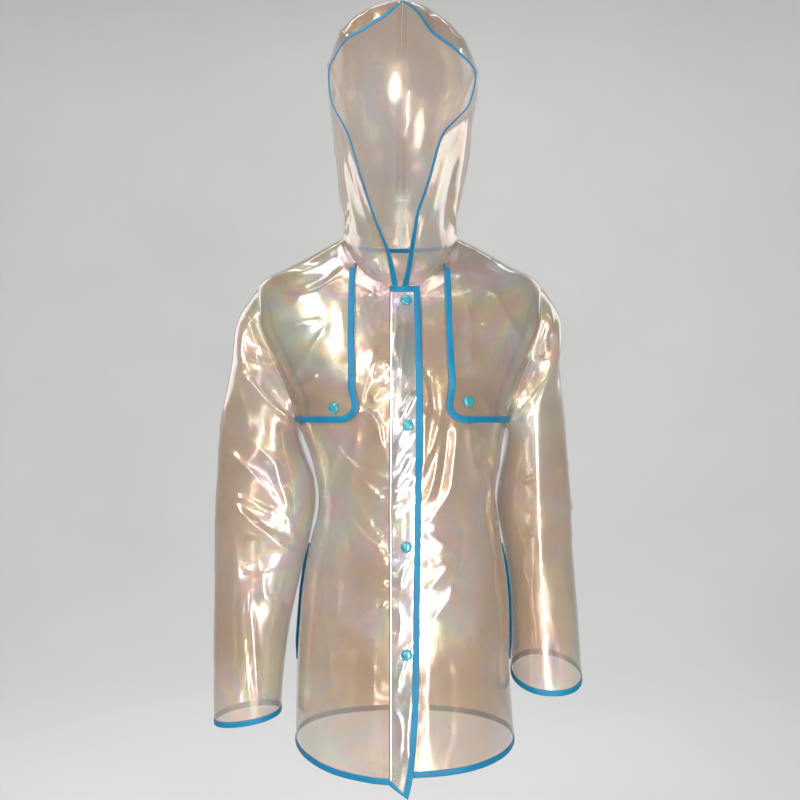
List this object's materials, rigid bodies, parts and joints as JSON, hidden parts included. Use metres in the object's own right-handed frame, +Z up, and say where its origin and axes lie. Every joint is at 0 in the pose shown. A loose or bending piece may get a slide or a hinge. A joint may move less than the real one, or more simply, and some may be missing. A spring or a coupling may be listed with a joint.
{
  "type": "raincoat",
  "caption": "Hooded translucent film raincoat hanging as worn, hip length, with bound contrast edges, storm flaps, a snapped front placket and side pockets",
  "frame": {"origin": "middle of the neck base, level with the shoulders, where the wearer's shoulders hold the coat", "axes": "+Z up, the coat's front faces -Y, +X is the wearer's left"},
  "size_m": [0.5338, 0.2668, 1.089],
  "materials": {
    "film": "pearly translucent film",
    "film_double": "pearly translucent film, two layers",
    "blue_tape": "woven satin binding tape",
    "turquoise_snap": "moulded cap snap"
  },
  "bodies": {
    "root": {"armhole_binding_left": "blue_tape", "armhole_binding_right": "blue_tape", "back": "film", "cuff_binding_left": "blue_tape", "cuff_binding_right": "blue_tape", "facing": "film", "facing_binding": "blue_tape", "flap_binding_left": "blue_tape", "flap_binding_right": "blue_tape", "flap_snap_left": "turquoise_snap", "flap_snap_right": "turquoise_snap", "front_left": "film", "front_right": "film", "hem_binding": "blue_tape", "hood_binding": "blue_tape", "hood_left": "film", "hood_right": "film", "neck_binding": "blue_tape", "placket": "film_double", "placket_binding": "blue_tape", "pocket_binding_left": "blue_tape", "pocket_binding_right": "blue_tape", "sleeve_left": "film", "sleeve_right": "film", "snap_1": "turquoise_snap", "snap_2": "turquoise_snap", "snap_3": "turquoise_snap", "snap_4": "turquoise_snap", "storm_flap_left": "film_double", "storm_flap_right": "film_double"}
  },
  "joints": []
}
